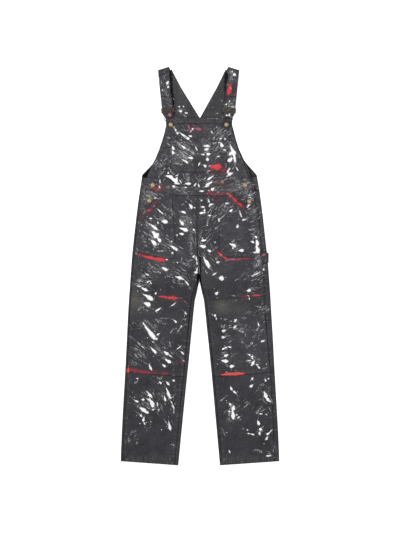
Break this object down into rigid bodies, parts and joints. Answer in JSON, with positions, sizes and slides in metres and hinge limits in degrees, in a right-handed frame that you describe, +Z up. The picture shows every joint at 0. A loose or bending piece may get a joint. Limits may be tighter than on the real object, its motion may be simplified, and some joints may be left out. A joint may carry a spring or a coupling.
{
  "type": "bib overalls",
  "caption": "Adult bib overalls laid flat front side up, with hooked shoulder straps, bib pocket, slant pockets, knee patches and a hammer loop.",
  "frame": {"origin": "centre of the garment's outline, on the ground it lies on", "axes": "+X towards the side with the hammer loop, +Y from the hems to the shoulder straps, +Z up out of the front"},
  "size_m": [0.6342, 1.594, 0.0133],
  "materials": {
    "denim": "coated charcoal denim, worn, spattered with paint",
    "denim_inside": "uncoated inner face of the denim",
    "brass": "aged brass, satin",
    "wire": "darkened wire"
  },
  "bodies": {
    "root": {"back_leg_left": "denim", "back_leg_right": "denim", "back_bib_left": "denim_inside", "back_bib_right": "denim_inside", "front_leg_left": "denim", "front_leg_right": "denim", "pocket_left": "denim", "pocket_right": "denim", "knee_patch_left": "denim", "knee_patch_right": "denim", "waistband": "denim", "bib": "denim", "bib_band": "denim", "bib_pocket": "denim", "strap_left": "denim", "strap_right": "denim", "hammer_loop": "denim", "slide_left": "brass", "slide_right": "brass", "hook_left": "wire", "hook_right": "wire", "bib_button_left": "brass", "bib_button_right": "brass", "side_button_upper_left": "brass", "side_button_upper_right": "brass", "side_button_lower_left": "brass", "side_button_lower_right": "brass"}
  },
  "joints": []
}
